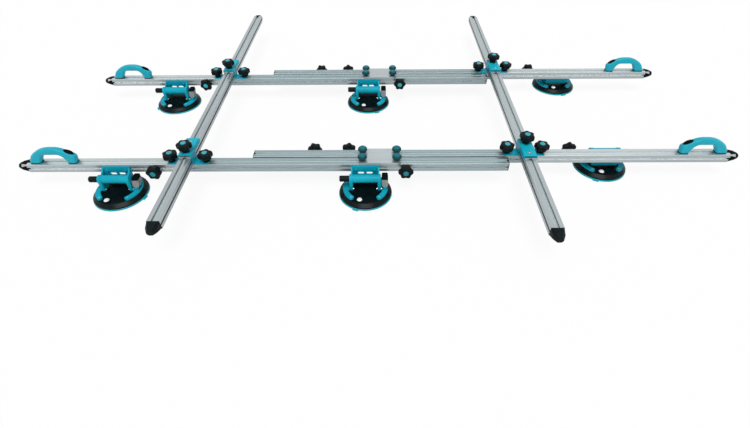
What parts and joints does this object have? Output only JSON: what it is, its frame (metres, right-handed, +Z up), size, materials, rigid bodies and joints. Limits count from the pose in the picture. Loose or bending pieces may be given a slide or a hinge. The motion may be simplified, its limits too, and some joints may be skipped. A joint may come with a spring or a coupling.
{
  "type": "large tile carrying frame",
  "caption": "Telescoping aluminium carrying frame for large tiles: rails with lift handles, clamped crossbars and pump suction cups that slide along the rails.",
  "frame": {"origin": "on the plane the suction pads stand on, under the middle of the frame's bounding box", "axes": "+X along the rails to the right end, +Y from the near rail to the far rail, +Z up"},
  "size_m": [2.707, 1.802, 0.194],
  "materials": {
    "aluminium": "satin anodised",
    "teal_metal": "satin teal coat",
    "teal_plastic": "smooth moulded teal",
    "teal_rubber": "soft teal rubber",
    "black_plastic": "moulded black",
    "black_gloss": "polished black",
    "grey_metal": "light grey satin"
  },
  "bodies": {
    "front_left_rail": {"front_left_rail": "aluminium", "front_left_handle": "teal_plastic"},
    "front_right_rail": {"front_right_rail": "aluminium", "front_right_handle": "teal_plastic", "front_lock_knobs": "black_plastic"},
    "front_splice": {"front_splice_plate": "aluminium", "front_splice_knobs": "black_plastic"},
    "rear_left_rail": {"rear_left_rail": "aluminium", "rear_left_handle": "teal_plastic"},
    "rear_right_rail": {"rear_right_rail": "aluminium", "rear_right_handle": "teal_plastic", "rear_lock_knobs": "black_plastic"},
    "rear_splice": {"rear_splice_plate": "aluminium", "rear_splice_knobs": "black_plastic"},
    "left_crossbar": {"left_crossbar": "aluminium", "rear_left_bracket": "teal_metal", "rear_left_bracket_knobs": "black_plastic"},
    "front_left_bracket": {"front_left_bracket": "teal_metal", "front_left_bracket_knobs": "black_plastic"},
    "right_crossbar": {"right_crossbar": "aluminium", "rear_right_bracket": "teal_metal", "rear_right_bracket_knobs": "black_plastic"},
    "front_right_bracket": {"front_right_bracket": "teal_metal", "front_right_bracket_knobs": "black_plastic"},
    "front_outer_cup": {"front_outer_cup_yoke": "teal_metal", "front_outer_cup_base": "black_gloss", "front_outer_cup_pad": "teal_rubber"},
    "front_outer_cup_knob": {"front_outer_cup_knob": "black_plastic"},
    "front_outer_cup_plunger": {"front_outer_cup_plunger": "black_plastic"},
    "front_outer_cup_lever": {"front_outer_cup_lever": "grey_metal"},
    "front_middle_cup": {"front_middle_cup_yoke": "teal_metal", "front_middle_cup_base": "black_gloss", "front_middle_cup_pad": "teal_rubber"},
    "front_middle_cup_knob": {"front_middle_cup_knob": "black_plastic"},
    "front_middle_cup_plunger": {"front_middle_cup_plunger": "black_plastic"},
    "front_middle_cup_lever": {"front_middle_cup_lever": "grey_metal"},
    "front_right_cup": {"front_right_cup_yoke": "teal_metal", "front_right_cup_base": "black_gloss", "front_right_cup_pad": "teal_rubber"},
    "front_right_cup_knob": {"front_right_cup_knob": "black_plastic"},
    "front_right_cup_plunger": {"front_right_cup_plunger": "black_plastic"},
    "front_right_cup_lever": {"front_right_cup_lever": "grey_metal"},
    "rear_outer_cup": {"rear_outer_cup_yoke": "teal_metal", "rear_outer_cup_base": "black_gloss", "rear_outer_cup_pad": "teal_rubber"},
    "rear_outer_cup_knob": {"rear_outer_cup_knob": "black_plastic"},
    "rear_outer_cup_plunger": {"rear_outer_cup_plunger": "black_plastic"},
    "rear_outer_cup_lever": {"rear_outer_cup_lever": "grey_metal"},
    "rear_middle_cup": {"rear_middle_cup_yoke": "teal_metal", "rear_middle_cup_base": "black_gloss", "rear_middle_cup_pad": "teal_rubber"},
    "rear_middle_cup_knob": {"rear_middle_cup_knob": "black_plastic"},
    "rear_middle_cup_plunger": {"rear_middle_cup_plunger": "black_plastic"},
    "rear_middle_cup_lever": {"rear_middle_cup_lever": "grey_metal"},
    "rear_right_cup": {"rear_right_cup_yoke": "teal_metal", "rear_right_cup_base": "black_gloss", "rear_right_cup_pad": "teal_rubber"},
    "rear_right_cup_knob": {"rear_right_cup_knob": "black_plastic"},
    "rear_right_cup_plunger": {"rear_right_cup_plunger": "black_plastic"},
    "rear_right_cup_lever": {"rear_right_cup_lever": "grey_metal"}
  },
  "joints": [
    {"name": "left_crossbar_slide", "type": "slide", "parent": "rear_left_rail", "child": "left_crossbar", "axis": [1, 0, 0], "range_m": [-0.03, 0.1]},
    {"name": "rail_spacing", "type": "slide", "parent": "left_crossbar", "child": "front_left_bracket", "axis": [0, 1, 0], "range_m": [-0.25, 0.25]},
    {"name": "front_left_rail_slide", "type": "slide", "parent": "front_left_bracket", "child": "front_left_rail", "axis": [1, 0, 0], "range_m": [-0.1, 0.03]},
    {"name": "rear_extension", "type": "slide", "parent": "rear_left_rail", "child": "rear_right_rail", "axis": [1, 0, 0], "range_m": [-0.25, 0.56]},
    {"name": "front_extension", "type": "slide", "parent": "front_left_rail", "child": "front_right_rail", "axis": [1, 0, 0], "range_m": [-0.25, 0.56]},
    {"name": "rear_splice_slide", "type": "slide", "parent": "rear_left_rail", "child": "rear_splice", "axis": [1, 0, 0], "range_m": [-0.125, 0.28]},
    {"name": "front_splice_slide", "type": "slide", "parent": "front_left_rail", "child": "front_splice", "axis": [1, 0, 0], "range_m": [-0.125, 0.28]},
    {"name": "right_crossbar_slide", "type": "slide", "parent": "rear_right_rail", "child": "right_crossbar", "axis": [1, 0, 0], "range_m": [-0.08, 0.08]},
    {"name": "right_rail_spacing", "type": "slide", "parent": "right_crossbar", "child": "front_right_bracket", "axis": [0, 1, 0], "range_m": [-0.25, 0.25]},
    {"name": "front_outer_cup_slide", "type": "slide", "parent": "front_left_rail", "child": "front_outer_cup", "axis": [1, 0, 0], "range_m": [-0.2, 0.03]},
    {"name": "front_outer_cup_knob_turn", "type": "hinge", "parent": "front_outer_cup", "child": "front_outer_cup_knob", "pos_m": [-0.8335, -0.502, 0.093], "axis": [0, -1, 0], "continuous": true},
    {"name": "front_outer_cup_pump", "type": "slide", "parent": "front_outer_cup", "child": "front_outer_cup_plunger", "axis": [1, 0, 0], "range_m": [0, 0.025], "stiffness_N_per_m": 250, "springref_m": -0.008},
    {"name": "front_outer_cup_release", "type": "hinge", "parent": "front_outer_cup", "child": "front_outer_cup_lever", "pos_m": [-0.9105, -0.537, 0.0355], "axis": [0, 1, 0], "range_deg": [0, 20], "stiffness_Nm_per_rad": 0.8, "springref_deg": -8.59},
    {"name": "front_middle_cup_slide", "type": "slide", "parent": "front_left_rail", "child": "front_middle_cup", "axis": [1, 0, 0], "range_m": [-0.3, 0.05]},
    {"name": "front_middle_cup_knob_turn", "type": "hinge", "parent": "front_middle_cup", "child": "front_middle_cup_knob", "pos_m": [0.0965, -0.502, 0.093], "axis": [0, -1, 0], "continuous": true},
    {"name": "front_middle_cup_pump", "type": "slide", "parent": "front_middle_cup", "child": "front_middle_cup_plunger", "axis": [1, 0, 0], "range_m": [0, 0.025], "stiffness_N_per_m": 250, "springref_m": -0.008},
    {"name": "front_middle_cup_release", "type": "hinge", "parent": "front_middle_cup", "child": "front_middle_cup_lever", "pos_m": [0.0195, -0.537, 0.0355], "axis": [0, 1, 0], "range_deg": [0, 20], "stiffness_Nm_per_rad": 0.8, "springref_deg": -8.59},
    {"name": "front_right_cup_slide", "type": "slide", "parent": "front_right_rail", "child": "front_right_cup", "axis": [1, 0, 0], "range_m": [-0.05, 0.25]},
    {"name": "front_right_cup_knob_turn", "type": "hinge", "parent": "front_right_cup", "child": "front_right_cup_knob", "pos_m": [0.7335, -0.412, 0.093], "axis": [0, 1, 0], "continuous": true},
    {"name": "front_right_cup_pump", "type": "slide", "parent": "front_right_cup", "child": "front_right_cup_plunger", "axis": [-1, 0, 0], "range_m": [0, 0.025], "stiffness_N_per_m": 250, "springref_m": -0.008},
    {"name": "front_right_cup_release", "type": "hinge", "parent": "front_right_cup", "child": "front_right_cup_lever", "pos_m": [0.8105, -0.377, 0.0355], "axis": [0, -1, 0], "range_deg": [0, 20], "stiffness_Nm_per_rad": 0.8, "springref_deg": -8.59},
    {"name": "rear_outer_cup_slide", "type": "slide", "parent": "rear_left_rail", "child": "rear_outer_cup", "axis": [1, 0, 0], "range_m": [-0.2, 0.03]},
    {"name": "rear_outer_cup_knob_turn", "type": "hinge", "parent": "rear_outer_cup", "child": "rear_outer_cup_knob", "pos_m": [-0.8235, 0.162, 0.093], "axis": [0, -1, 0], "continuous": true},
    {"name": "rear_outer_cup_pump", "type": "slide", "parent": "rear_outer_cup", "child": "rear_outer_cup_plunger", "axis": [1, 0, 0], "range_m": [0, 0.025], "stiffness_N_per_m": 250, "springref_m": -0.008},
    {"name": "rear_outer_cup_release", "type": "hinge", "parent": "rear_outer_cup", "child": "rear_outer_cup_lever", "pos_m": [-0.9005, 0.127, 0.0355], "axis": [0, 1, 0], "range_deg": [0, 20], "stiffness_Nm_per_rad": 0.8, "springref_deg": -8.59},
    {"name": "rear_middle_cup_slide", "type": "slide", "parent": "rear_left_rail", "child": "rear_middle_cup", "axis": [1, 0, 0], "range_m": [-0.3, 0.05]},
    {"name": "rear_middle_cup_knob_turn", "type": "hinge", "parent": "rear_middle_cup", "child": "rear_middle_cup_knob", "pos_m": [0.0965, 0.162, 0.093], "axis": [0, -1, 0], "continuous": true},
    {"name": "rear_middle_cup_pump", "type": "slide", "parent": "rear_middle_cup", "child": "rear_middle_cup_plunger", "axis": [1, 0, 0], "range_m": [0, 0.025], "stiffness_N_per_m": 250, "springref_m": -0.008},
    {"name": "rear_middle_cup_release", "type": "hinge", "parent": "rear_middle_cup", "child": "rear_middle_cup_lever", "pos_m": [0.0195, 0.127, 0.0355], "axis": [0, 1, 0], "range_deg": [0, 20], "stiffness_Nm_per_rad": 0.8, "springref_deg": -8.59},
    {"name": "rear_right_cup_slide", "type": "slide", "parent": "rear_right_rail", "child": "rear_right_cup", "axis": [1, 0, 0], "range_m": [-0.05, 0.25]},
    {"name": "rear_right_cup_knob_turn", "type": "hinge", "parent": "rear_right_cup", "child": "rear_right_cup_knob", "pos_m": [0.7335, 0.252, 0.093], "axis": [0, 1, 0], "continuous": true},
    {"name": "rear_right_cup_pump", "type": "slide", "parent": "rear_right_cup", "child": "rear_right_cup_plunger", "axis": [-1, 0, 0], "range_m": [0, 0.025], "stiffness_N_per_m": 250, "springref_m": -0.008},
    {"name": "rear_right_cup_release", "type": "hinge", "parent": "rear_right_cup", "child": "rear_right_cup_lever", "pos_m": [0.8105, 0.287, 0.0355], "axis": [0, -1, 0], "range_deg": [0, 20], "stiffness_Nm_per_rad": 0.8, "springref_deg": -8.59}
  ],
  "couplings": [
    {"joint": "front_left_rail_slide", "follows": "left_crossbar_slide", "ratio": -1},
    {"joint": "front_extension", "follows": "rear_extension", "ratio": 1},
    {"joint": "rear_splice_slide", "follows": "rear_extension", "ratio": 0.5},
    {"joint": "front_splice_slide", "follows": "rear_extension", "ratio": 0.5},
    {"joint": "right_rail_spacing", "follows": "rail_spacing", "ratio": 1}
  ]
}
